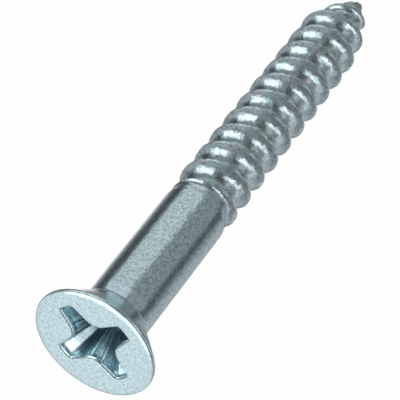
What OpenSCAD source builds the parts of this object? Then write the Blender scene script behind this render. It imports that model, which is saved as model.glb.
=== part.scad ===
// Flat-head wood screw with a cross recess, a plain shank and a rolled thread.
// The head is up. The middle of its flat top is at the origin, and the tip points down -Z.
// The real screw is one piece of steel wire. Each node below is one formed region of it, and
// the regions meet face to face.

/* [Overall] */
// Length from the flat top of the head to the tip
screw_length = 44.2; // [40:0.05:60]

/* [Head] */
// Diameter of the head across its rim
head_d = 9.72; // [9:0.02:10.4]
// Angle of the cone under the head, measured across the cone
cone_angle = 82; // [78:1:92]
// Height of the straight land round the rim
rim_land = 0.1; // [0.1:0.05:0.5]
// Radius that rounds the edge between the flat top and the rim
edge_round = 0.16; // [0.05:0.01:0.25]
// Radius of the fillet where the cone runs into the shank
neck_fillet = 0.5; // [0.3:0.1:1.5]
// Length of plain neck that is struck with the head
neck_length = 0.9; // [0.7:0.1:2]

/* [Cross recess] */
// Diameter across the tips of two opposite wings, at the flat top
wing_span = 6.56; // [5.8:0.02:7]
// Width of a wing at its tip
wing_width = 1.1; // [0.8:0.05:1.4]
// How much each flank of a wing opens towards the middle
wing_flare = 10; // [4:1:14]
// Radius of the rounded corner of metal between two wings
land_corner = 1.3; // [0.6:0.05:1.6]
// Depth of the wings
wing_depth = 2.9; // [2:0.05:3]
// Size of the recess at the bottom of the wings, as a share of its size at the top
wing_taper = 0.42; // [0.35:0.01:0.6]
// Depth of the point left by the punch below the wings
punch_point = 0.4; // [0.2:0.05:0.5]

/* [Shank] */
// Diameter of the plain shank
shank_d = 5.2; // [4.9:0.02:5.4]
// Depth below the flat top at which the plain shank ends
shank_end = 15.3; // [11:0.1:18]
// Length over which the shank steps down to the root of the thread
step_length = 0.9; // [0.6:0.1:1.5]

/* [Thread] */
// Diameter over the crest of the thread
crest_d = 5.486; // [5.4:0.002:5.8]
// Diameter at the root of the thread
root_d = 3.74; // [3.5:0.02:4]
// Distance from one turn to the next
pitch = 2.309; // [2.1:0.001:2.6]
// Width of the flat along the crest
crest_width = 0.26; // [0.15:0.01:0.4]
// Slope of each flank, measured from a plane across the screw
flank_slope = 26; // [22:1:32]
// Turn of the crest about the screw, where it leaves the shank
start_angle = 88; // [0:1:359]
// Share of a turn over which the ridge grows from nothing to its full height
run_in = 0.4; // [0.2:0.05:0.8]

/* [Gimlet point] */
// Length of the whole taper, from the end of the straight thread to the tip
taper_length = 5.2; // [4.5:0.05:6]
// Length of the blunt nose at the end of the taper
nose_length = 1.5; // [1.2:0.05:2]
// Diameter of the core where the nose begins
nose_d = 2.2; // [1.8:0.05:2.4]
// Diameter over the ridge where the nose begins
nose_crest_d = 2.8; // [2.6:0.05:3.4]
// Diameter over the last part of the ridge, just above the tip
end_crest_d = 2; // [1.6:0.05:2.4]
// Diameter of the blunt end of the tip
tip_d = 0.9; // [0.6:0.05:1]
// Distance from the tip at which the ridge dies away
ridge_stop = 0.4; // [0.35:0.05:0.8]

/* [Hidden] */

head_r = head_d / 2;
shank_r = shank_d / 2;
root_r = root_d / 2;
crest_r = crest_d / 2;
tip_r = tip_d / 2;
nose_r = nose_d / 2;
nose_crest_r = nose_crest_d / 2;
end_crest_r = end_crest_d / 2;
half_cone = cone_angle / 2;

// Where the cone meets the fillet, and how deep the whole head is
rim_bottom = edge_round + rim_land;
fillet_top_r = shank_r + neck_fillet * (1 - cos(half_cone));
fillet_bottom = rim_bottom + (head_r - fillet_top_r) / tan(half_cone) + neck_fillet * sin(half_cone);
head_depth = fillet_bottom + neck_length;

core_start = shank_end + step_length;
taper_start = screw_length - taper_length;
nose_start = screw_length - nose_length;

// Facets round a turned surface, and steps along each small arc
round_steps = 96;
arc_steps = 6;

// Points along an arc, from one angle to another
function arc(centre, radius, from, to) =
    [for (i = [0 : arc_steps])
        let (a = from + (to - from) * i / arc_steps)
        [centre[0] + radius * cos(a), centre[1] + radius * sin(a)]];

// Outline of the turned head, as radius and height
function head_profile() = concat(
    [[0, 0]],
    arc([head_r - edge_round, -edge_round], edge_round, 90, 0),
    [[head_r, -rim_bottom]],
    arc([shank_r + neck_fillet, -fillet_bottom], neck_fillet, 180 - half_cone, 180),
    [[shank_r, -head_depth], [0, -head_depth]]
);

// Middle of the rounded corner between two wings, which touches both flanks
wing_tip_r = wing_span / 2;
corner_mid = (land_corner + wing_tip_r * sin(wing_flare) + wing_width / 2 * cos(wing_flare))
    / (sin(wing_flare) + cos(wing_flare));

// One quarter of the recess outline: half a wing tip, a flank, a rounded corner and the next flank
function recess_quarter() = concat(
    [[wing_tip_r, wing_width / 2]],
    arc([corner_mid, corner_mid], land_corner, 270 - wing_flare, 180 + wing_flare),
    [[wing_width / 2, wing_tip_r]]
);

function turned(points, angle) =
    [for (p = points) [p[0] * cos(angle) - p[1] * sin(angle), p[0] * sin(angle) + p[1] * cos(angle)]];

// Overlap that a cutting shape has past the face it cuts
cut_over = 0.2;
// The punch's point fills this share of the bottom of the recess, and ends in this radius
punch_share = 0.72;
punch_tip_r = 0.1;

module cross_recess() {
    outline = [for (k = [0 : 3]) each turned(recess_quarter(), 90 * k)];
    over_scale = 1 + cut_over * (1 - wing_taper) / wing_depth;
    bottom_r = wing_tip_r * wing_taper * punch_share;
    // The wings narrow as they go down, because the punch has to pull out
    translate([0, 0, cut_over])
        mirror([0, 0, 1])
            linear_extrude(height = wing_depth + cut_over, scale = wing_taper / over_scale)
                scale(over_scale) polygon(outline);
    // The punch ends in a shallow point
    translate([0, 0, -wing_depth - punch_point])
        cylinder(h = punch_point + cut_over, r1 = punch_tip_r, r2 = bottom_r, $fn = round_steps);
}

module countersunk_head() {
    color("lightsteelblue")
        difference() {
            rotate_extrude($fn = round_steps) polygon(head_profile());
            cross_recess();
        }
}

module plain_shank() {
    color("lightslategray") {
        translate([0, 0, -shank_end])
            cylinder(h = shank_end - head_depth, r = shank_r, $fn = round_steps);
        translate([0, 0, -core_start])
            cylinder(h = step_length, r1 = root_r, r2 = shank_r, $fn = round_steps);
    }
}

module threaded_core() {
    color("slategray")
        translate([0, 0, -taper_start])
            cylinder(h = taper_start - core_start, r = root_r, $fn = round_steps);
}

module gimlet_point() {
    color("lightslategray")
        translate([0, 0, -screw_length])
            rotate_extrude($fn = round_steps)
                polygon(concat(
                    [[0, 0]],
                    arc([0, tip_r], tip_r, 280, 360),
                    [[nose_r, nose_length], [root_r, taper_length], [0, taper_length]]
                ));
}

// Radius of the surface that the ridge stands on, at a depth below the flat top
function surface_r(depth) = lookup(depth, [
    [shank_end, shank_r],
    [core_start, root_r],
    [taper_start, root_r],
    [nose_start, nose_r],
    [screw_length - tip_r, tip_r],
    [screw_length, tip_r / 2]
]);

// Distance from the tip to the last full part of the ridge
end_crest_up = 0.75;

// Radius of the crest at a depth, before the run-in at its start
function full_crest_r(depth) = lookup(depth, [
    [taper_start, crest_r],
    [nose_start, nose_crest_r],
    [screw_length - end_crest_up, end_crest_r],
    [screw_length - ridge_stop, tip_r]
]);

ridge_steps = 32;
ridge_start = shank_end;
ridge_end = screw_length - ridge_stop;
ridge_rings = floor((ridge_end - ridge_start) / pitch * ridge_steps);

// Where the foot fillet begins up the flank, and how far it runs out, as shares of the height
fillet_rise = 0.25;
fillet_run = 0.2;
// The ridge begins as a low bead, with this share of its height and at least this height
first_share = 0.04;
least_height = 0.04;

// Half the width of the ridge at its foot and at the top of the foot fillet
function foot_half(height) = crest_width / 2 + height * (tan(flank_slope) + fillet_run);
function fillet_half(height) = crest_width / 2 + (1 - fillet_rise) * height * tan(flank_slope);

// One cross-section of the ridge, at its place along the helix
function ridge_section(i) =
    let (
        depth = ridge_start + pitch * i / ridge_steps,
        angle = start_angle - 360 * i / ridge_steps,
        grow = min(1, first_share + i / (ridge_steps * run_in)),
        base = surface_r(depth),
        height = max(least_height, grow * (full_crest_r(depth) - base)),
        foot = foot_half(height),
        fillet = fillet_half(height),
        profile = [
            [surface_r(depth - foot), depth - foot],
            [base + height * fillet_rise, depth - fillet],
            [base + height, depth - crest_width / 2],
            [base + height, depth + crest_width / 2],
            [base + height * fillet_rise, depth + fillet],
            [surface_r(depth + foot), depth + foot],
            [base, depth]
        ]
    )
    [for (p = profile) [p[0] * cos(angle), p[0] * sin(angle), -p[1]]];

module thread_ridge() {
    corners = len(ridge_section(0));
    points = [for (i = [0 : ridge_rings]) each ridge_section(i)];
    walls = [
        for (i = [0 : ridge_rings - 1], j = [0 : corners - 1])
            let (
                a = i * corners + j,
                b = i * corners + (j + 1) % corners
            )
            each [[a, b, b + corners], [a, b + corners, a + corners]]
    ];
    first_cap = [for (j = [1 : corners - 2]) [0, j + 1, j]];
    last = ridge_rings * corners;
    last_cap = [for (j = [1 : corners - 2]) [last, last + j, last + j + 1]];
    color("gainsboro") polyhedron(points, concat(walls, first_cap, last_cap), convexity = 20);
}

countersunk_head();
plain_shank();
threaded_core();
thread_ridge();
gimlet_point();
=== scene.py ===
# %% [markdown]
# # A flat-head wood screw, plated in bright zinc
#
# The real screw is one piece of steel wire. A press strikes the head and punches the cross
# recess, then two flat dies roll the thread and the point, and a plating bath adds a thin coat
# of zinc. The CAD frame holds those regions as five solids. This lesson gives each of them its
# finished shape, then a finish, and then sets up a small studio, because a bright metal part
# looks like whatever stands around it.

# %% Load the frame
import math

import bpy
import numpy as np
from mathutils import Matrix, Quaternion, Vector, noise


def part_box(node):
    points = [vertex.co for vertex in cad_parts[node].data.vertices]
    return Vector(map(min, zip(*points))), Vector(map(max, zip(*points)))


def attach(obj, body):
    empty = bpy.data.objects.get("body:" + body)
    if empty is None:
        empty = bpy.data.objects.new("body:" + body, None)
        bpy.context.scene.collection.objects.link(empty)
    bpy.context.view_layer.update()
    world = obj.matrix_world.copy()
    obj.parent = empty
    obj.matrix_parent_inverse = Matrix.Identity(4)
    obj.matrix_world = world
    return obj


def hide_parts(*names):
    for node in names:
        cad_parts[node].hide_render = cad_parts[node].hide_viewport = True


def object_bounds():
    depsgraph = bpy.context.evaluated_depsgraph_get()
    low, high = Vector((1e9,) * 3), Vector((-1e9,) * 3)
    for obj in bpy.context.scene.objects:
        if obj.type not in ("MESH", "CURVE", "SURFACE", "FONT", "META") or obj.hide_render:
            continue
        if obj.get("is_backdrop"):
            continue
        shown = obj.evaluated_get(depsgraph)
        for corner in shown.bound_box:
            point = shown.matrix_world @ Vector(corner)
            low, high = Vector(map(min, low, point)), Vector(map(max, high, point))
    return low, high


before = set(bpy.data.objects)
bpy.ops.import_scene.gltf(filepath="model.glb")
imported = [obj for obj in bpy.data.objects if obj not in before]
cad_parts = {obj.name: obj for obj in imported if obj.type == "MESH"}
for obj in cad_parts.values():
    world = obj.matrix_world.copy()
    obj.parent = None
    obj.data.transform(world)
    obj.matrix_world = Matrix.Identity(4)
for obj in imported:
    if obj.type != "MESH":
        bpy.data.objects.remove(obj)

cad_low, cad_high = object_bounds()
print("frame nodes:", sorted(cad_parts))
print("screw length in metres:", round(cad_high.z - cad_low.z, 4))

# %% [markdown]
# ## Sizes
#
# The frame is in metres, but a screw is easier to think about in millimetres. So this cell reads
# the main sizes from the frame's boxes and turns them to millimetres, and the meshes are turned
# back to metres as they are made. Depths are counted down from the flat top of the head. The
# sizes that no box shows, such as the pitch, are set in the cells that need them first.

# %% Sizes from the frame
MM = 0.001


def node_size(node):
    """Largest radius, top depth and bottom depth of a frame node, in millimetres."""
    low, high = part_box(node)
    return high.x / MM, -high.z / MM, -low.z / MM


head_r, _, head_depth = node_size("countersunk_head")
shank_r, _, core_start = node_size("plain_shank")
root_r, _, taper_start = node_size("threaded_core")
crest_r, _, _ = node_size("thread_ridge")
_, _, screw_length = node_size("gimlet_point")
print("head radius", round(head_r, 3), "shank radius", round(shank_r, 3))
print("crest radius", round(crest_r, 3), "root radius", round(root_r, 3))
print("core from", round(core_start, 2), "to", round(taper_start, 2), "of", round(screw_length, 2))

# %% [markdown]
# ## Camera
#
# The camera looks down at the head from about 40 degrees above the horizon, and is rolled so
# that the screw runs from the lower left to the upper right. It has a long lens and stands less
# than four screw lengths away, so the head looks a little larger than the tip.

# %% Camera
VIEW_AZIMUTH = -68.25
VIEW_ELEVATION = 40.04
VIEW_ROLL = 141.93
VIEW_DISTANCE = 160.6
VIEW_AIM = Vector((0.3, 0.1, -16.5))
FIELD_OF_VIEW = 10.788


def direction(azimuth, elevation):
    """Unit vector for an azimuth from +X towards +Y and a height above the horizon, in degrees."""
    a, e = math.radians(azimuth), math.radians(elevation)
    return Vector((math.cos(a) * math.cos(e), math.sin(a) * math.cos(e), math.sin(e)))


def link(thing):
    """Puts an object into the scene, and gives it back."""
    bpy.context.scene.collection.objects.link(thing)
    return thing


towards_camera = direction(VIEW_AZIMUTH, VIEW_ELEVATION)
camera = link(bpy.data.objects.new("camera", bpy.data.cameras.new("camera")))
camera.location = (VIEW_AIM + towards_camera * VIEW_DISTANCE) * MM
camera.rotation_mode = "QUATERNION"
level = (-towards_camera).to_track_quat("-Z", "Y")
camera.rotation_quaternion = level @ Quaternion((0, 0, 1), math.radians(-VIEW_ROLL))
camera.data.sensor_width = 36
camera.data.angle = math.radians(FIELD_OF_VIEW)
camera.data.clip_start = 1 * MM
bpy.context.scene.camera = camera
print("camera lens in mm:", round(camera.data.lens, 1))

# %% [markdown]
# ## Helpers for the metal
#
# Every region of a screw is a stack of closed rings: circles on the shank, a cross inside the
# recess, and a small bell-shaped section that travels along a helix for the thread. So one
# function is enough to make all the meshes. It joins each ring to the next and closes both ends.
#
# Struck and rolled metal is never quite true. A second function moves each point a few
# hundredths of a millimetre along its normal. It uses smooth noise that depends only on
# where the point is, so the head and the shank, which share an edge, stay joined.

# %% A closed mesh from rings


def mesh_from_rings(name, rings):
    """One closed mesh from a stack of rings of points in millimetres, all with the same count."""
    rings = np.asarray(rings, float)
    count, around = rings.shape[:2]
    ends = [rings[0].mean(axis=0), rings[-1].mean(axis=0)]
    points = np.vstack([rings.reshape(-1, 3), ends]) * MM
    first_end, last_end = count * around, count * around + 1
    faces = []
    for i in range(count - 1):
        for j in range(around):
            k = (j + 1) % around
            faces.append((i * around + j, i * around + k, (i + 1) * around + k, (i + 1) * around + j))
    for j in range(around):
        k = (j + 1) % around
        faces.append((j, first_end, k))
        faces.append(((count - 1) * around + j, (count - 1) * around + k, last_end))
    mesh = bpy.data.meshes.new(name)
    mesh.from_pydata(points.tolist(), [], faces)
    mesh.validate()
    return mesh


def signed_volume(mesh):
    """Volume of a closed mesh, negative if its faces point inwards."""
    mesh.calc_loop_triangles()
    points = np.array([v.co for v in mesh.vertices])
    corners = np.array([t.vertices for t in mesh.loop_triangles])
    a, b, c = (points[corners[:, i]] for i in range(3))
    return float(np.einsum("ij,ij->i", a, np.cross(b, c)).sum() / 6)


# %% Uneven metal


def unevenness(place, size, seed):
    """Smooth noise between about -1 and 1, with bumps of the given size in millimetres."""
    shift = Vector((seed * 17.3, seed * 5.1, seed * 11.7))
    return noise.noise(place / (size * MM) + shift)


def make_uneven(mesh, layers):
    """Moves each point along its normal. A layer is (bump size, height, seed), in millimetres."""
    places = [v.co.copy() for v in mesh.vertices]
    normals = [v.normal.copy() for v in mesh.vertices]
    for vertex, place, normal in zip(mesh.vertices, places, normals):
        height = sum(h * unevenness(place, size, seed) for size, h, seed in layers)
        vertex.co = place + normal * (height * MM)


# %% A finished piece
# Faces that meet at a larger angle than this, in degrees, keep a sharp edge between them
SHARP_ANGLE = 50


def finish_piece(name, rings, node, layers):
    """Makes a region of the screw from its rings, and puts it in place of its frame node."""
    mesh = mesh_from_rings(name, rings)
    if signed_volume(mesh) < 0:
        mesh.flip_normals()
    make_uneven(mesh, layers)
    mesh.shade_smooth()
    mesh.set_sharp_from_angle(angle=math.radians(SHARP_ANGLE))
    piece = link(bpy.data.objects.new(name, mesh))
    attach(piece, "root")
    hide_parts(node)
    volume = signed_volume(mesh) / MM**3
    print(f"{name}: {len(mesh.polygons)} faces, {volume:.1f} cubic mm")
    return piece


# %% Lines, arcs and circles


def arc(centre, radius, start, stop, steps):
    """Points along an arc in a plane, with angles in degrees, both ends included."""
    angles = np.radians(np.linspace(start, stop, steps + 1))
    return np.c_[centre[0] + radius * np.cos(angles), centre[1] + radius * np.sin(angles)]


def line(start, stop, steps):
    """Points along a straight line, both ends included."""
    return np.linspace(start, stop, steps + 1)


def circle_ring(radius, depth, angles, middle=(0, 0)):
    """A ring round a middle. Radius and depth are one number each, or one for each angle."""
    x = middle[0] + radius * np.cos(angles)
    y = middle[1] + radius * np.sin(angles)
    return np.c_[x, y, np.full(len(angles), -depth) if np.isscalar(depth) else -depth]


# Small dents that handling and tumbling in the plating barrel leave, then a finer ripple
BARREL_DENTS = [(1.6, 0.010, 1), (0.6, 0.005, 2)]

# %% [markdown]
# ## The struck head
#
# The head is forged with a flat top and an 82 degree cone that runs into the shank through a
# fillet. A punch then drives the cross recess into it. The metal pulled down by the punch leaves
# a rounded lip round the recess, deeper than it is wide, and the wings narrow as they go down,
# because the punch has to come out again.
#
# The blow is never quite in line with the wire. So the rim sits about a tenth of a millimetre off
# the axis, and the low crown that joins the flat top to the rim is wider on one side. That crown
# and the small rounded edge after it carry the bright line that draws the outline of the head.
#
# The outline of the recess has eight equal parts, so one part is drawn and the rest are turned
# or mirrored from it. The same points, pushed outwards, become the circle of the rim, and so
# one stack of rings runs from the bottom of the recess, over the face and rim, down to the neck.

# %% Recess outline
WING_TIP_R = 3.28
WING_WIDTH = 1.1
WING_FLARE = 10
WING_CORNER = 0.16
LAND_CORNER = 1.3
WING_DEPTH = 2.9
WING_TAPER = 0.42
PUNCH_POINT = 0.4
LIP_WIDTH = 0.24
LIP_DEPTH = 0.38
LIP_LEANS = [12, 24, 36, 48, 60, 75, 90]
PUNCH_SHARES = [0.03, 0.3, 0.6, 0.85]
WALL_RINGS = 20

flare_sin, flare_cos = math.sin(math.radians(WING_FLARE)), math.cos(math.radians(WING_FLARE))
corner_y = WING_WIDTH / 2 - WING_CORNER * (1 - flare_sin) / flare_cos
land_mid = (LAND_CORNER + WING_TIP_R * flare_sin + WING_WIDTH / 2 * flare_cos) / (flare_sin + flare_cos)


def recess_eighth():
    """From the middle of a wing's tip to the middle of the rounded land beside it."""
    corner = arc((WING_TIP_R - WING_CORNER, corner_y), WING_CORNER, 0, 90 - WING_FLARE, 6)
    land = arc((land_mid, land_mid), LAND_CORNER, 270 - WING_FLARE, 225, 30)
    tip = line((WING_TIP_R, 0), corner[0], 5)
    flank = line(corner[-1], land[0], 12)
    return np.vstack([tip[:-1], corner[:-1], flank[:-1], land])


eighth = recess_eighth()
quarter = np.vstack([eighth[:-1], eighth[::-1][:, ::-1][:-1]])
turns = [np.array([[math.cos(a), -math.sin(a)], [math.sin(a), math.cos(a)]])
         for a in np.radians([0, 90, 180, 270])]
recess_outline = np.vstack([quarter @ turn.T for turn in turns])
ahead, behind = np.roll(recess_outline, -1, axis=0), np.roll(recess_outline, 1, axis=0)
along = ahead - behind
along /= np.linalg.norm(along, axis=1, keepdims=True)
recess_outward = np.c_[along[:, 1], -along[:, 0]]
print("points round the recess:", len(recess_outline))

# %% Head profile
CONE_HALF_ANGLE = 41
RIM_BOTTOM = 0.26
RIM_SHIFT = np.array([-0.09, 0.08])
# The crown is this wide, plus or minus the extra, and widest towards this azimuth in degrees
CROWN_WIDTH = 0.24
CROWN_EXTRA = 0.10
CROWN_WIDEST = -68
# Slope of the crown in degrees, where it leaves the flat top and where the rounded edge begins
CROWN_TILT = (7, 22)
EDGE_ROUND = 0.1
NECK_FILLET = 0.5
FACE_RINGS = 15

# The crown is an arc drawn one unit wide, and the edge is an arc that goes on from it
tilt_low, tilt_high = (math.radians(tilt) for tilt in CROWN_TILT)
crown_radius = 1 / (math.sin(tilt_high) - math.sin(tilt_low))
crown_tilts = np.linspace(tilt_low, tilt_high, 7)
crown = crown_radius * np.c_[np.sin(crown_tilts) - math.sin(tilt_low),
                             math.cos(tilt_low) - np.cos(crown_tilts)]
edge_tilts = np.linspace(tilt_high, np.pi / 2, 8)
edge = EDGE_ROUND * np.c_[np.sin(edge_tilts) - math.sin(tilt_high),
                          math.cos(tilt_high) - np.cos(edge_tilts)]

cone_sin, cone_cos = math.sin(math.radians(CONE_HALF_ANGLE)), math.cos(math.radians(CONE_HALF_ANGLE))
fillet_top_r = shank_r + NECK_FILLET * (1 - cone_cos)
fillet_depth = RIM_BOTTOM + (head_r - fillet_top_r) * cone_cos / cone_sin + NECK_FILLET * cone_sin
print("fillet meets the shank at", round(fillet_depth, 2), "of", round(head_depth, 2), "mm")

# %% Recess, from its bottom to its lip


def flat_ring(outline, depth):
    """A ring with the given outline in the plane at one depth."""
    return np.c_[outline, np.full(len(outline), -depth)]


def recess_rings():
    """From the point at the bottom of the recess up its walls and over its lip."""
    rings = []
    for share in PUNCH_SHARES:
        outline = recess_outline * WING_TAPER * share
        rings.append(flat_ring(outline, WING_DEPTH + PUNCH_POINT * (1 - share)))
    for depth in np.linspace(WING_DEPTH, LIP_DEPTH, WALL_RINGS):
        down = (depth - LIP_DEPTH) / (WING_DEPTH - LIP_DEPTH)
        rings.append(flat_ring(recess_outline * (1 - (1 - WING_TAPER) * down), depth))
    for lean in np.radians(LIP_LEANS):
        outline = recess_outline + recess_outward * LIP_WIDTH * (1 - math.cos(lean))
        rings.append(flat_ring(outline, LIP_DEPTH * (1 - math.sin(lean))))
    return rings


print("rings in the recess:", len(recess_rings()))

# %% The whole head


def head_rings():
    """From the recess over the flat top, crown, edge and rim, then down the cone to the neck."""
    rings = recess_rings()
    face_edge = rings[-1][:, :2]
    angles = np.arctan2(face_edge[:, 1], face_edge[:, 0])
    crown_width = CROWN_WIDTH + CROWN_EXTRA * np.cos(angles - math.radians(CROWN_WIDEST))
    crown_start = head_r - edge[-1][0] - crown_width
    rim = circle_ring(crown_start, 0, angles, RIM_SHIFT)[:, :2]
    for share in np.linspace(0, 1, FACE_RINGS)[1:]:
        rings.append(flat_ring(face_edge * (1 - share) + rim * share, 0))
    for out, down in crown[1:]:
        rings.append(circle_ring(crown_start + out * crown_width, down * crown_width, angles, RIM_SHIFT))
    for out, down in edge[1:]:
        radius = crown_start + crown_width + out
        rings.append(circle_ring(radius, crown[-1][1] * crown_width + down, angles, RIM_SHIFT))
    land = np.array([[head_r, RIM_BOTTOM]])
    fillet = arc((shank_r + NECK_FILLET, fillet_depth), NECK_FILLET, 180 + CONE_HALF_ANGLE, 180, 12)
    cone = line(land[-1], fillet[0], 20)[1:-1]
    neck = line(fillet[-1], (shank_r, head_depth), 6)[1:]
    for radius, depth in np.vstack([land, cone, fillet, neck]):
        centred = np.clip((depth - RIM_BOTTOM) / (fillet[0][1] - RIM_BOTTOM), 0, 1)
        rings.append(circle_ring(radius, depth, angles, RIM_SHIFT * (1 - centred)))
    return rings


head = finish_piece("struck_head", head_rings(), "countersunk_head", BARREL_DENTS)

# %% [markdown]
# ## The drawn shank
#
# The plain shank is the wire itself. It is left as drawn, so it is the truest surface on the
# screw, and it ends in a soft shoulder where the dies began to squeeze the thread out of it.

# %% Shank
AROUND = 256
SHANK_END = 15.3
SHOULDER = 0.45
STEP_RINGS = 17
# The shank ends in a ring hidden inside the core: its share of the root, and its depth in it
HIDDEN_SHARE = 0.97
HIDDEN_DEPTH = 0.15
around_angles = np.linspace(0, 2 * np.pi, AROUND, endpoint=False)


def shank_profile():
    """Radius and depth down the shank, over its shoulder and into the root of the thread."""
    step_top = SHANK_END - SHOULDER
    straight = line((shank_r, head_depth), (shank_r, step_top), 60)
    step_share = np.linspace(0, 1, STEP_RINGS)[1:]
    drop = (1 - np.cos(np.pi * step_share)) / 2
    step = np.c_[shank_r - (shank_r - root_r) * drop, step_top + (core_start - step_top) * step_share]
    hidden = np.array([[root_r * HIDDEN_SHARE, core_start + HIDDEN_DEPTH]])
    return np.vstack([straight, step, hidden])


shank_rings = [circle_ring(radius, depth, around_angles) for radius, depth in shank_profile()]
shank = finish_piece("drawn_shank", shank_rings, "plain_shank", BARREL_DENTS)

# %% [markdown]
# ## The threaded core
#
# Between the turns of the thread the dies leave a nearly straight root. Its surface is burnished
# by the dies and a little wavy, because the metal between the turns had to flow sideways. The
# core starts a little way inside the shank, so that no gap shows at the shoulder.

# %% Core
# Waves, ripples and small dents of the rolled metal
ROLLED_WAVES = [(1.2, 0.030, 3), (0.55, 0.024, 4), (0.26, 0.009, 5)]
CORE_OVERLAP = 0.35
CORE_RINGS = 130
core_rings = [circle_ring(root_r, depth, around_angles)
              for depth in np.linspace(core_start - CORE_OVERLAP, taper_start, CORE_RINGS)]
core = finish_piece("threaded_core", core_rings, "threaded_core", ROLLED_WAVES)

# %% [markdown]
# ## The gimlet point
#
# At the end the dies close in and pinch the wire to a slim nose, and the scrap is sheared off.
# That leaves a blunt, slightly crooked end. It is made as a turned taper whose middle drifts off
# the axis near the end, so that the tip isn't perfectly centred.

# %% Gimlet point
NOSE_LENGTH = 1.5
NOSE_R = 1.1
TIP_R = 0.45
TIP_DRIFT = np.array([-0.14, -0.06])
POINT_OVERLAP = 0.05
POINT_RINGS = 60
# Share of the shank's radius that is left where the thread begins, on the shoulder
SHOULDER_SHARE = 0.97
nose_start = screw_length - NOSE_LENGTH


def core_radius(depth):
    """Radius of the metal that the thread stands on, at any depth below the head."""
    depths = [SHANK_END - SHOULDER, SHANK_END, core_start, taper_start, nose_start, screw_length - TIP_R]
    radii = [shank_r, shank_r * SHOULDER_SHARE, root_r, root_r, NOSE_R, TIP_R]
    return float(np.interp(depth, depths, radii))


def middle_at(depth):
    """Middle of the wire at a depth: on the axis, then off it over the last part of the nose."""
    return TIP_DRIFT * float(np.clip((depth - nose_start) / NOSE_LENGTH, 0, 1)) ** 2


def gimlet_rings():
    """Down the taper and the nose, then round the blunt end."""
    depths = np.linspace(taper_start - POINT_OVERLAP, screw_length - TIP_R, POINT_RINGS)
    rings = [circle_ring(core_radius(depth), depth, around_angles, middle_at(depth))
             for depth in depths]
    for angle in np.radians([20, 40, 60, 80]):
        depth = screw_length - TIP_R * (1 - math.sin(angle))
        rings.append(circle_ring(TIP_R * math.cos(angle), depth, around_angles, middle_at(depth)))
    return rings


gimlet = finish_piece("gimlet_point", gimlet_rings(), "gimlet_point", ROLLED_WAVES)

# %% [markdown]
# ## The thread
#
# A wood screw's thread is a thin ridge with a wide root between its turns. Metal flows up both
# sides of the die's groove, and where the two flows meet at the top they leave a fine seam. So
# the section of the ridge is drawn with two small lips and a groove between them, straight
# flanks, and a hollow fillet on each side that runs out into the root. The fillet on the head's
# side is the larger one, wide enough to gather a soft highlight along the foot of every turn.
#
# The section travels down the helix, one ring at a time. Its height grows from nothing over the
# first part of a turn and falls again along the point.

# %% Thread section
PITCH = 2.309
CREST_ANGLE = 88
RIDGE_STOP = 0.4
CREST_HALF = 0.1
CREST_ROUND = 0.05
FLANK_SLOPE = 26
HEAD_FILLET = 1.5
TIP_FILLET = 0.45
SEAM_DEPTH = 0.03
SEAM_REACH = 0.8
FOOT_BURIED = 0.15
full_height = crest_r - root_r
ridge_end = screw_length - RIDGE_STOP


def flank_points(root_fillet):
    """One side of the section, from the toe of its fillet to the crest, as offset and height."""
    slope = math.radians(FLANK_SLOPE)
    turn = math.radians(90 - FLANK_SLOPE)
    toe = CREST_HALF + full_height * math.tan(slope) + root_fillet * math.tan(turn / 2)
    fillet = arc((toe, root_fillet), root_fillet, 270, 180 + FLANK_SLOPE, 12)
    back = CREST_ROUND * math.tan(turn / 2)
    corner_mid = (CREST_HALF - back, full_height - CREST_ROUND)
    corner = arc(corner_mid, CREST_ROUND, FLANK_SLOPE, 90, 5)
    flank = line(fillet[-1], corner[0], 6)[1:-1]
    return np.vstack([fillet, flank, corner])


tip_side, head_side = flank_points(TIP_FILLET), flank_points(HEAD_FILLET)
lip_offset = tip_side[-1][0]
seam_offsets = np.linspace(SEAM_REACH, -SEAM_REACH, 7) * lip_offset
seam = np.c_[seam_offsets, full_height - SEAM_DEPTH * np.cos(seam_offsets / lip_offset * np.pi / 2)]
section = np.vstack([tip_side, seam, head_side[::-1] * (-1, 1)])
print("points in the section:", len(section))
print("toes at", round(-head_side[0][0], 3), "and", round(tip_side[0][0], 3), "mm of the crest")

# %% Thread along its helix
STEPS_PER_TURN = 96
RUN_IN = 0.4
# The ridge begins as a low bead: its share of the full height, and its least height and width
FIRST_SHARE = 0.03
LEAST_HEIGHT = 0.03
LEAST_WIDTH = 0.35
NOSE_CREST_R = 1.4
END_CREST_R = 1.0
END_CREST_UP = 0.75


def crest_radius(depth):
    """Radius over the crest at any depth."""
    depths = [taper_start, nose_start, screw_length - END_CREST_UP, ridge_end]
    radii = [crest_r, NOSE_CREST_R, END_CREST_R, TIP_R]
    return float(np.interp(depth, depths, radii))


def thread_ring(turn):
    """The section at a number of turns from the start, as a closed ring with a buried foot."""
    depth = SHANK_END + PITCH * turn
    angle = math.radians(CREST_ANGLE - 360 * turn)
    base = core_radius(depth)
    growth = min(1, FIRST_SHARE + turn / RUN_IN)
    growth = growth * growth * (3 - 2 * growth)
    height = max(LEAST_HEIGHT, growth * (crest_radius(depth) - base))
    size = max(height / full_height, LEAST_WIDTH)
    offsets = section[:, 0] * size
    heights = section[:, 1] * height / full_height
    radii = np.array([core_radius(depth + offset) for offset in offsets]) + heights
    foot = np.array([offsets[-1], offsets[0]])
    foot_radii = np.array([core_radius(depth + offset) for offset in foot]) - FOOT_BURIED
    radii, offsets = np.r_[radii, foot_radii], np.r_[offsets, foot]
    middle = np.array([middle_at(depth + offset) for offset in offsets])
    return np.c_[middle + radii[:, None] * (math.cos(angle), math.sin(angle)), -(depth + offsets)]


total_turns = (ridge_end - SHANK_END) / PITCH
thread_rings = [thread_ring(turn) for turn in np.arange(0, total_turns, 1 / STEPS_PER_TURN)]
thread = finish_piece("rolled_thread", thread_rings, "thread_ridge", ROLLED_WAVES)
print("turns of thread:", round(total_turns, 2))

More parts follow.
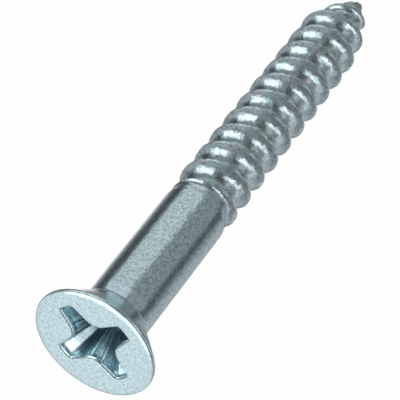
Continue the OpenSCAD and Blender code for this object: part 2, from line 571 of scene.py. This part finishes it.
# %% [markdown]
# ## Colours and nodes
#
# Colours are written as the hex values that a paint or web tool shows, and one function turns
# them to the linear values that Blender's shaders use. A second function adds a node with its
# settings and its links, so that each material below reads as a short list.
#
# Blender's noise mostly stays between 0.3 and 0.7. So a map range from inside those values turns
# it into patches with more contrast, and the ends of the range set how much of each there is.

# %% Colour and node helpers


def linear(hex_code, alpha=1.0):
    """Linear colour from an sRGB hex value such as #CEE7EE."""
    channels = [int(hex_code[i:i + 2], 16) / 255 for i in (1, 3, 5)]
    curve = [c / 12.92 if c <= 0.04045 else ((c + 0.055) / 1.055) ** 2.4 for c in channels]
    return tuple(curve) + (alpha,)


def add_node(tree, kind, settings=None, inputs=None):
    """Adds a node, sets its own settings, and gives each input a value or a socket to read."""
    new = tree.nodes.new("ShaderNode" + kind)
    for key, value in (settings or {}).items():
        setattr(new, key, value)
    for key, value in (inputs or {}).items():
        if isinstance(value, bpy.types.NodeSocket):
            tree.links.new(value, new.inputs[key])
        else:
            new.inputs[key].default_value = value
    return new


def per_mm(size):
    """Texture scale that gives features of the given size in millimetres."""
    return 1 / (size * MM)


ZINC_LIGHT = linear("#D6EDF2")
ZINC_DARK = linear("#B4CDD6")
DRAWN_DARK = linear("#A3BBC4")
FOLD_GREY = linear("#6E7C82")
ZINC_ROSE = linear("#DBE0EA")
ZINC_GREEN = linear("#CDE8E6")
# Dark grey painted into the recess as painted shade
RECESS_SHADE_GREY = linear("#566B78")
PIT_GREY = linear("#8FA9B3")
WHITE = linear("#FEFEFE")
print("pale zinc, linear:", [round(c, 2) for c in ZINC_LIGHT[:3]])

# %% [markdown]
# ## Finish of the head: struck steel, bright zinc plated
#
# The punch leaves the face of the head flat but not polished. The zinc then grows on it in tiny
# grains, each a little lighter or darker than the next, and a blue passivate gives the whole
# coat a pale cyan cast. To the eye that is a satin metal with a fine mottle.
#
# Real plating grains are far too small to see, so the mottle is drawn about a quarter of a
# millimetre across, which is how the eye groups them.
#
# Only the flat face is satin. The crown, the rim and the cone are smoother, so their reflections
# are sharper. Deeper in the recess the colour is painted darker towards a dark grey, as painted
# shade, and the surface is made rougher with depth.

# %% Struck zinc: sizes
GRAIN_SIZE = 0.22
GRAIN_HEIGHT = 0.006
CLOUD_SIZE = 0.9
FACE_ROUGHNESS = (0.30, 0.40)
EDGE_ROUGHNESS = 0.13
# The face ends between these radii from the middle of the rim, and between these depths
FACE_EDGE = (4.50, 4.42)
FACE_DROP = (0.09, 0.03)
# The recess lies inside this radius at the top, less the slope times the depth further down
RECESS_REACH = 3.9
RECESS_SLOPE = 0.7
# The recess is painted darker, as painted shade, between these depths, up to this share, and made that
# much rougher
RECESS_SHADE_DEPTH = (0.5, 1.6)
RECESS_SHADE_SHARE = 0.55
RECESS_ROUGHNESS = 0.2

# %% Struck zinc: the mottle of the face
struck = bpy.data.materials.new("struck_bright_zinc")
struck.use_nodes = True
tree = struck.node_tree
tree.nodes.clear()
place = add_node(tree, "TexCoord").outputs["Object"]
grain = add_node(tree, "TexNoise", inputs={
    "Vector": place, "Scale": per_mm(GRAIN_SIZE), "Detail": 3.0, "Roughness": 0.6})
cloud = add_node(tree, "TexNoise", inputs={
    "Vector": place, "Scale": per_mm(CLOUD_SIZE), "Detail": 2.0, "Roughness": 0.5})
grain_share = add_node(tree, "MapRange", inputs={
    "Value": grain.outputs["Fac"], "From Min": 0.36, "From Max": 0.6})
colour = add_node(tree, "Mix", {"data_type": "RGBA"}, {
    "Factor": grain_share.outputs["Result"], "A": ZINC_DARK, "B": ZINC_LIGHT})
face_gloss = add_node(tree, "MapRange", inputs={
    "Value": cloud.outputs["Fac"], "From Min": 0.3, "From Max": 0.7,
    "To Min": FACE_ROUGHNESS[0], "To Max": FACE_ROUGHNESS[1]})
print("mottle nodes:", len(tree.nodes))

# %% Struck zinc: where the face ends, and how deep the recess is
height = add_node(tree, "SeparateXYZ", inputs={"Vector": place}).outputs["Z"]
flat_place = add_node(tree, "VectorMath", {"operation": "MULTIPLY_ADD"}, {
    0: place, 1: (1.0, 1.0, 0.0), 2: (-RIM_SHIFT[0] * MM, -RIM_SHIFT[1] * MM, 0.0)})
from_middle = add_node(tree, "VectorMath", {"operation": "LENGTH"}, {0: flat_place.outputs["Vector"]})
on_face = add_node(tree, "MapRange", inputs={
    "Value": from_middle.outputs["Value"],
    "From Min": FACE_EDGE[0] * MM, "From Max": FACE_EDGE[1] * MM})
at_top = add_node(tree, "MapRange", inputs={
    "Value": height, "From Min": -FACE_DROP[0] * MM, "From Max": -FACE_DROP[1] * MM})
face_share = add_node(tree, "Math", {"operation": "MULTIPLY"}, {
    0: on_face.outputs["Result"], 1: at_top.outputs["Result"]})
slanted = add_node(tree, "Math", {"operation": "MULTIPLY_ADD"}, {
    0: height, 1: -RECESS_SLOPE, 2: from_middle.outputs["Value"]})
in_recess = add_node(tree, "Math", {"operation": "LESS_THAN"}, {
    0: slanted.outputs[0], 1: RECESS_REACH * MM})
# Painted shade deep in the recess: this share darkens the colour and raises the roughness with depth
depth_share = add_node(tree, "MapRange", {"interpolation_type": "SMOOTHSTEP"}, {
    "Value": height, "From Min": -RECESS_SHADE_DEPTH[0] * MM, "From Max": -RECESS_SHADE_DEPTH[1] * MM,
    "To Min": 0.0, "To Max": RECESS_SHADE_SHARE})
painted_recess_shade = add_node(tree, "Math", {"operation": "MULTIPLY"}, {
    0: in_recess.outputs[0], 1: depth_share.outputs["Result"]})
print("nodes with the masks:", len(tree.nodes))

# %% Struck zinc: the shader
edge_gloss = add_node(tree, "Math", {"operation": "MULTIPLY_ADD"}, {
    0: painted_recess_shade.outputs[0], 1: RECESS_ROUGHNESS, 2: EDGE_ROUGHNESS})
gloss = add_node(tree, "Mix", {"data_type": "FLOAT"}, {
    "Factor": face_share.outputs[0], "A": edge_gloss.outputs[0], "B": face_gloss.outputs["Result"]})
# Painted shade: the colour is mixed towards a dark grey deeper in the recess
shaded = add_node(tree, "Mix", {"data_type": "RGBA"}, {
    "Factor": painted_recess_shade.outputs[0], "A": colour.outputs["Result"], "B": RECESS_SHADE_GREY})
bump = add_node(tree, "Bump", inputs={
    "Height": grain.outputs["Fac"], "Strength": 1.0, "Distance": GRAIN_HEIGHT * MM})
shader = add_node(tree, "BsdfPrincipled", inputs={
    "Base Color": shaded.outputs["Result"], "Metallic": 1.0,
    "Roughness": gloss.outputs[0], "Normal": bump.outputs["Normal"]})
add_node(tree, "OutputMaterial", inputs={"Surface": shader.outputs["BSDF"]})
head.data.materials.append(struck)
print("struck zinc nodes:", len(tree.nodes))

# %% [markdown]
# ## Finish of the shank: drawn wire, bright zinc plated
#
# Wire is pulled through a die, so it is smoother along its length than round it, and it keeps
# faint lines in the direction of drawing. The pickling bath before plating eats small pits, and
# the zinc doesn't fill them. Over both lies the fine peel of the plate itself. Pits, lines and
# peel break up the edges of every reflection, and the metal still mirrors more than the face.
#
# On real wire the lines are a few hundredths of a millimetre wide. They are drawn coarser here,
# and so is the peel, because otherwise neither would show.

# %% Drawn zinc: sizes
LINE_SIZE = 0.16
LINE_HEIGHT = 0.003
# The lines change this much more slowly along the wire than across it
LINE_STRETCH = 0.12
PEEL_SIZE = 0.2
PEEL_HEIGHT = 0.011
PIT_SPACING = 0.42
DRAWN_ROUGHNESS = (0.12, 0.19)

# %% Drawn zinc: lines, peel and pits
drawn = bpy.data.materials.new("drawn_bright_zinc")
drawn.use_nodes = True
tree = drawn.node_tree
tree.nodes.clear()
place = add_node(tree, "TexCoord").outputs["Object"]
stretched = add_node(tree, "Mapping", inputs={"Vector": place, "Scale": (1.0, 1.0, LINE_STRETCH)})
die_lines = add_node(tree, "TexNoise", inputs={
    "Vector": stretched.outputs["Vector"], "Scale": per_mm(LINE_SIZE), "Detail": 3.0, "Roughness": 0.6})
peel = add_node(tree, "TexNoise", inputs={
    "Vector": place, "Scale": per_mm(PEEL_SIZE), "Detail": 3.0, "Roughness": 0.65})
pits = add_node(tree, "TexVoronoi", {"feature": "F1"}, {
    "Vector": place, "Scale": per_mm(PIT_SPACING), "Randomness": 1.0})
pit_share = add_node(tree, "MapRange", inputs={
    "Value": pits.outputs["Distance"], "From Min": 0.08, "From Max": 0.2, "To Min": 1.0, "To Max": 0.0})
print("pattern nodes:", len(tree.nodes))

# %% Drawn zinc: the shader
colour_share = add_node(tree, "MapRange", inputs={
    "Value": peel.outputs["Fac"], "From Min": 0.38, "From Max": 0.6})
colour = add_node(tree, "Mix", {"data_type": "RGBA"}, {
    "Factor": colour_share.outputs["Result"], "A": DRAWN_DARK, "B": ZINC_LIGHT})
pitted = add_node(tree, "Mix", {"data_type": "RGBA"}, {
    "Factor": pit_share.outputs["Result"], "A": colour.outputs["Result"], "B": PIT_GREY})
gloss = add_node(tree, "MapRange", inputs={
    "Value": die_lines.outputs["Fac"], "From Min": 0.3, "From Max": 0.7,
    "To Min": DRAWN_ROUGHNESS[0], "To Max": DRAWN_ROUGHNESS[1]})
lines_bump = add_node(tree, "Bump", inputs={
    "Height": die_lines.outputs["Fac"], "Strength": 1.0, "Distance": LINE_HEIGHT * MM})
peel_bump = add_node(tree, "Bump", inputs={
    "Height": peel.outputs["Fac"], "Strength": 1.0, "Distance": PEEL_HEIGHT * MM,
    "Normal": lines_bump.outputs["Normal"]})
shader = add_node(tree, "BsdfPrincipled", inputs={
    "Base Color": pitted.outputs["Result"], "Metallic": 1.0,
    "Roughness": gloss.outputs["Result"], "Normal": peel_bump.outputs["Normal"]})
add_node(tree, "OutputMaterial", inputs={"Surface": shader.outputs["BSDF"]})
shank.data.materials.append(drawn)
print("drawn zinc nodes:", len(tree.nodes))

# %% [markdown]
# ## Finish of the thread: rolled steel, bright zinc plated
#
# The dies press and rub the thread as they form it, so its surface is burnished. It has the
# brightest and sharpest glints on the screw, but it isn't even, because the flow of the metal
# leaves shallow folds and the crest takes small knocks.
#
# The passivate is a clear film, and where it lies thicker or thinner it tints the metal faintly
# green or rose. Small dark specks are left where the plate is thin. The folds and specks are a
# quarter to a third of a millimetre across. The fine grain is drawn coarser than it is, to show.

# %% Rolled zinc: sizes
FOLD_SIZE = 0.35
FOLD_HEIGHT = 0.03
FINE_SIZE = 0.14
FINE_HEIGHT = 0.009
FILM_SIZE = 0.7
SPECK_SIZE = 0.24
SPECK_SHARE = 0.75
ROLLED_ROUGHNESS = (0.08, 0.15)

# %% Rolled zinc: plate, film and specks
rolled = bpy.data.materials.new("rolled_bright_zinc")
rolled.use_nodes = True
tree = rolled.node_tree
tree.nodes.clear()
place = add_node(tree, "TexCoord").outputs["Object"]
folds = add_node(tree, "TexNoise", inputs={
    "Vector": place, "Scale": per_mm(FOLD_SIZE), "Detail": 4.0, "Roughness": 0.6})
grain = add_node(tree, "TexNoise", inputs={
    "Vector": place, "Scale": per_mm(FINE_SIZE), "Detail": 2.0, "Roughness": 0.6})
colour_share = add_node(tree, "MapRange", inputs={
    "Value": folds.outputs["Fac"], "From Min": 0.3, "From Max": 0.65})
film = add_node(tree, "TexNoise", inputs={
    "Vector": place, "Scale": per_mm(FILM_SIZE), "Detail": 2.0, "Roughness": 0.5})
film_share = add_node(tree, "MapRange", inputs={
    "Value": film.outputs["Fac"], "From Min": 0.4, "From Max": 0.6})
film_colour = add_node(tree, "Mix", {"data_type": "RGBA"}, {
    "Factor": film_share.outputs["Result"], "A": ZINC_ROSE, "B": ZINC_GREEN})
plated = add_node(tree, "Mix", {"data_type": "RGBA"}, {
    "Factor": colour_share.outputs["Result"], "A": ZINC_DARK, "B": film_colour.outputs["Result"]})
speck = add_node(tree, "TexNoise", inputs={
    "Vector": place, "Scale": per_mm(SPECK_SIZE), "Detail": 3.0, "Roughness": 0.7})
speck_share = add_node(tree, "MapRange", inputs={
    "Value": speck.outputs["Fac"], "From Min": 0.56, "From Max": 0.68,
    "To Min": 0.0, "To Max": SPECK_SHARE})
colour = add_node(tree, "Mix", {"data_type": "RGBA"}, {
    "Factor": speck_share.outputs["Result"], "A": plated.outputs["Result"], "B": FOLD_GREY})
print("pattern nodes:", len(tree.nodes))

# %% Rolled zinc: the shader
gloss = add_node(tree, "MapRange", inputs={
    "Value": folds.outputs["Fac"], "From Min": 0.3, "From Max": 0.7,
    "To Min": ROLLED_ROUGHNESS[0], "To Max": ROLLED_ROUGHNESS[1]})
folds_bump = add_node(tree, "Bump", inputs={
    "Height": folds.outputs["Fac"], "Strength": 1.0, "Distance": FOLD_HEIGHT * MM})
grain_bump = add_node(tree, "Bump", inputs={
    "Height": grain.outputs["Fac"], "Strength": 1.0, "Distance": FINE_HEIGHT * MM,
    "Normal": folds_bump.outputs["Normal"]})
shader = add_node(tree, "BsdfPrincipled", inputs={
    "Base Color": colour.outputs["Result"], "Metallic": 1.0,
    "Roughness": gloss.outputs["Result"], "Normal": grain_bump.outputs["Normal"]})
add_node(tree, "OutputMaterial", inputs={"Surface": shader.outputs["BSDF"]})
for piece in (core, gimlet, thread):
    piece.data.materials.append(rolled)
print("rolled zinc nodes:", len(tree.nodes))

# %% [markdown]
# ## Floor
#
# The floor is a light table: one pale sheet, evenly lit from below, so the screw throws no
# shadow on it. It is left out of the reflections, because the studio's cards already say what
# the metal sees below it.

# %% Floor
FLOOR_DROP = 0.2
FLOOR_SIZE = 6.0
floor_mesh = bpy.data.meshes.new("floor")
half = FLOOR_SIZE / 2
level_z = cad_low.z - FLOOR_DROP
floor_mesh.from_pydata([(-half, -half, level_z), (half, -half, level_z),
                        (half, half, level_z), (-half, half, level_z)], [], [(0, 1, 2, 3)])
floor = link(bpy.data.objects.new("floor", floor_mesh))
floor.visible_glossy = False
floor.visible_shadow = False
light_table = bpy.data.materials.new("light_table")
light_table.use_nodes = True
tree = light_table.node_tree
tree.nodes.clear()
sheet = add_node(tree, "Emission", inputs={"Color": WHITE, "Strength": 1.0})
add_node(tree, "OutputMaterial", inputs={"Surface": sheet.outputs["Emission"]})
floor_mesh.materials.append(light_table)
floor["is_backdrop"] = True
print("floor below the tip, in mm:", round((cad_low.z - level_z) / MM))

# %% [markdown]
# ## Studio light
#
# A bright metal shows no colour of its own, only its surroundings with a tint. So the studio is
# drawn as the surroundings: a soft grey room, with white cards where the metal should shine and
# black cards where it should turn dark. Each card is a soft-edged patch of the sky, with its
# direction, its size and its brightness. Where two cards overlap, the later one in the list
# covers the earlier one. The camera itself sees plain white behind the screw.

# %% Cards
ROOM = 0.3
# Each card: azimuth, elevation, half width, half height and soft edge in degrees, brightness
CARDS = [
    ("pale wall, low on the left", -20, -48, 40, 18, 6, 0.72),
    ("black card, low on the far left", 40, -38, 18, 14, 5, 0.1),
    ("white card, low behind", 94, -38, 16, 10, 6, 0.9),
    ("grey wall, low in the middle", -95, -45, 35, 18, 6, 0.33),
    ("dark card, low on the right", -140, -48, 12, 18, 5, 0.13),
    ("pale wall on the right", 160, -30, 32, 30, 10, 0.50),
    ("dark floor under the head", 125, -70, 34, 14, 8, 0.18),
    ("dark ceiling on the right", -165, 62, 55, 20, 8, 0.22),
    ("dark strip in front", -75, 5, 14, 30, 8, 0.13),
    ("pale wall, high on the left", 40, 32, 22, 22, 8, 0.45),
    ("large soft box on the left", -8, 23, 30, 17, 8, 1.7),
    ("small soft box, far right", -168, 5, 14, 18, 8, 0.7),
    ("low part of the strip light", -110, -4, 12, 14, 6, 0.6),
    ("strip light on the right", -120, 25, 36, 8, 4, 1.4),
    ("bright end of the strip light", -111, 32, 9, 6, 3, 2.6),
    ("black card, behind on the left", 44, -2, 15, 17, 6, 0.1),
    ("high soft box in front", -5, 68, 45, 12, 8, 0.5),
    ("soft box over the head", 112, 38, 38, 26, 10, 0.86),
    ("bright band over the head", 106, 62, 36, 13, 5, 1.8),
]
print("brightest card:", max(card[-1] for card in CARDS))

# %% Directions in the studio
world = bpy.data.worlds.new("studio")
bpy.context.scene.world = world
world.use_nodes = True
tree = world.node_tree
tree.nodes.clear()
ray = add_node(tree, "TexCoord").outputs["Generated"]
parts = add_node(tree, "SeparateXYZ", inputs={"Vector": ray})
azimuth = add_node(tree, "Math", {"operation": "ARCTAN2"}, {
    0: parts.outputs["Y"], 1: parts.outputs["X"]})
elevation = add_node(tree, "Math", {"operation": "ARCSINE"}, {0: parts.outputs["Z"]})
print("nodes for the directions:", len(tree.nodes))

# %% Light from the cards
light = None
for name, card_azimuth, card_elevation, half_width, half_height, soft, brightness in CARDS:
    beside = add_node(tree, "Math", {"operation": "WRAP"}, {
        0: azimuth.outputs[0],
        1: math.radians(card_azimuth + 180), 2: math.radians(card_azimuth - 180)})
    beside.label = name
    across = add_node(tree, "Math", {"operation": "SUBTRACT"}, {
        0: beside.outputs[0], 1: math.radians(card_azimuth)})
    up = add_node(tree, "Math", {"operation": "SUBTRACT"}, {
        0: elevation.outputs[0], 1: math.radians(card_elevation)})
    share = None
    for offset, half_size in ((across, half_width), (up, half_height)):
        distance = add_node(tree, "Math", {"operation": "ABSOLUTE"}, {0: offset.outputs[0]})
        inside = add_node(tree, "MapRange", {"interpolation_type": "SMOOTHSTEP"}, {
            "Value": distance.outputs[0], "From Min": math.radians(half_size - soft),
            "From Max": math.radians(half_size + soft), "To Min": 1.0, "To Max": 0.0})
        if share:
            share = add_node(tree, "Math", {"operation": "MULTIPLY"}, {
                0: share.outputs[0], 1: inside.outputs[0]})
        else:
            share = inside
    light = add_node(tree, "Mix", {"data_type": "FLOAT"}, {
        "Factor": share.outputs[0], "A": light.outputs[0] if light else ROOM, "B": brightness})
print("cards:", len(CARDS), "nodes:", len(tree.nodes))

# %% What the screw and the camera see
lit_room = add_node(tree, "Background", inputs={"Color": light.outputs[0], "Strength": 1.0})
plain_white = add_node(tree, "Background", inputs={"Color": WHITE, "Strength": 1.0})
for_camera = add_node(tree, "LightPath").outputs["Is Camera Ray"]
seen = add_node(tree, "MixShader", inputs={
    0: for_camera, 1: lit_room.outputs[0], 2: plain_white.outputs[0]})
add_node(tree, "OutputWorld", inputs={"Surface": seen.outputs[0]})
bpy.context.scene.view_settings.view_transform = "Standard"
print("view transform:", bpy.context.scene.view_settings.view_transform)

# %% [markdown]
#
# The finished screw has to keep to the box that the CAD gave it, apart from the tenth of a
# millimetre that its head stands off centre. So both boxes are printed side by side.

# %% Write the two boxes
new_low, new_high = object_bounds()
for name, before, after in zip("xyz", cad_high - cad_low, new_high - new_low):
    print(f"{name}: frame {before / MM:.2f} mm, finished {after / MM:.2f} mm")
